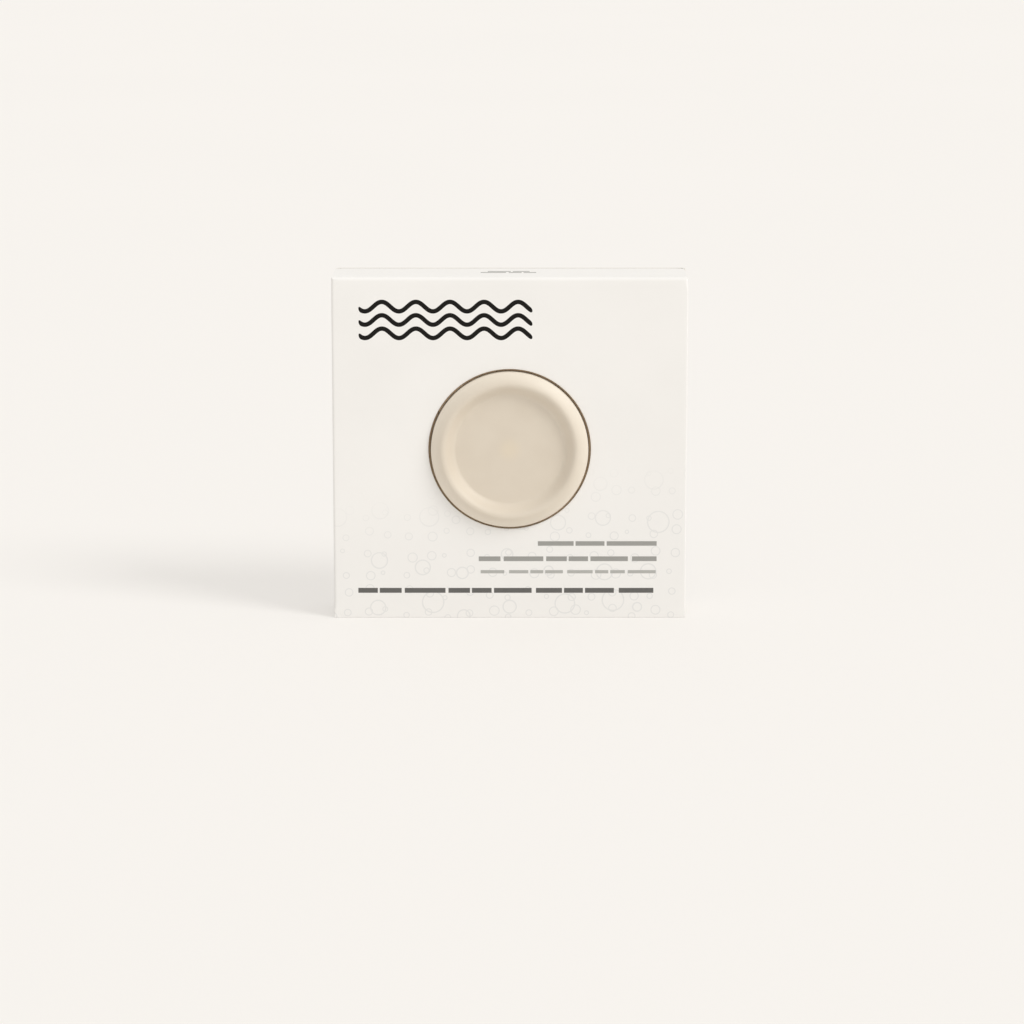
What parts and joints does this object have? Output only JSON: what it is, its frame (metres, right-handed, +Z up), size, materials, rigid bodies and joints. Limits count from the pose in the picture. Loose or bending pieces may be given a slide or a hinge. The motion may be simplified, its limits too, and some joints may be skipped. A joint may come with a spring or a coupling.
{
  "type": "magnetic soap holder",
  "caption": "Dished round magnetic soap holder standing proud of the window of its slim folding carton, with inner card, toothed soap plate and leaflet inside.",
  "frame": {"origin": "middle of the carton's base, on the outer face of the bottom lid", "axes": "+Z up, the front panel faces -Y, +X to the right of someone behind who looks along +Y from the front"},
  "size_m": [0.09, 0.021, 0.088],
  "materials": {
    "board": "matt white coated folding board",
    "card": "raw brown card",
    "nylon": "satin moulded recycled nylon, sand",
    "nickel": "nickel plated magnet",
    "zinc_steel": "zinc plated pressed steel",
    "foam": "closed-cell acrylic foam",
    "liner": "siliconised release paper",
    "plate_steel": "pressed stainless steel",
    "leaflet_paper": "uncoated paper"
  },
  "bodies": {
    "carton": {"front_panel": "board", "back_panel": "board", "left_side_panel": "board", "right_side_panel": "board", "glue_flap": "board", "insert_face": "card", "insert_left_wall": "card", "insert_right_wall": "card", "insert_web": "card", "soap_plate": "plate_steel", "leaflet": "leaflet_paper"},
    "holder": {"holder_cup": "nylon", "back_cover": "nylon", "magnet": "nickel", "keeper": "zinc_steel", "adhesive_pad": "foam", "release_liner": "liner"},
    "top_lid": {"top_lid": "board"},
    "top_tuck": {"top_tuck_flap": "board"},
    "top_dust_left": {"top_dust_flap_left": "board"},
    "top_dust_right": {"top_dust_flap_right": "board"},
    "bottom_lid": {"bottom_lid": "board"},
    "bottom_tuck": {"bottom_tuck_flap": "board"},
    "bottom_dust_left": {"bottom_dust_flap_left": "board"},
    "bottom_dust_right": {"bottom_dust_flap_right": "board"}
  },
  "joints": [
    {"name": "holder_slide", "type": "slide", "parent": "carton", "child": "holder", "axis": [0, -1, 0], "range_m": [0, 0.04]},
    {"name": "top_lid_hinge", "type": "hinge", "parent": "carton", "child": "top_lid", "pos_m": [0, -0.0076, 0.088], "axis": [1, 0, 0], "range_deg": [0, 150]},
    {"name": "top_tuck_crease", "type": "hinge", "parent": "top_lid", "child": "top_tuck", "pos_m": [0, 0.0082, 0.08645], "axis": [-1, 0, 0], "range_deg": [0, 12]},
    {"name": "top_dust_left_crease", "type": "hinge", "parent": "carton", "child": "top_dust_left", "pos_m": [-0.0436, 0, 0.0872], "axis": [0, -1, 0], "range_deg": [0, 75]},
    {"name": "top_dust_right_crease", "type": "hinge", "parent": "carton", "child": "top_dust_right", "pos_m": [0.0436, 0, 0.0872], "axis": [0, 1, 0], "range_deg": [0, 75]},
    {"name": "bottom_lid_hinge", "type": "hinge", "parent": "carton", "child": "bottom_lid", "pos_m": [0, -0.0076, 0], "axis": [-1, 0, 0], "range_deg": [0, 150]},
    {"name": "bottom_tuck_crease", "type": "hinge", "parent": "bottom_lid", "child": "bottom_tuck", "pos_m": [0, 0.0082, 0.00155], "axis": [1, 0, 0], "range_deg": [0, 12]},
    {"name": "bottom_dust_left_crease", "type": "hinge", "parent": "carton", "child": "bottom_dust_left", "pos_m": [-0.0436, 0, 0.0008], "axis": [0, 1, 0], "range_deg": [0, 75]},
    {"name": "bottom_dust_right_crease", "type": "hinge", "parent": "carton", "child": "bottom_dust_right", "pos_m": [0.0436, 0, 0.0008], "axis": [0, -1, 0], "range_deg": [0, 75]}
  ],
  "couplings": [
    {"joint": "top_dust_left_crease", "follows": "top_lid_hinge", "ratio": 0.5},
    {"joint": "top_dust_right_crease", "follows": "top_lid_hinge", "ratio": 0.5},
    {"joint": "bottom_dust_left_crease", "follows": "bottom_lid_hinge", "ratio": 0.5},
    {"joint": "bottom_dust_right_crease", "follows": "bottom_lid_hinge", "ratio": 0.5}
  ]
}
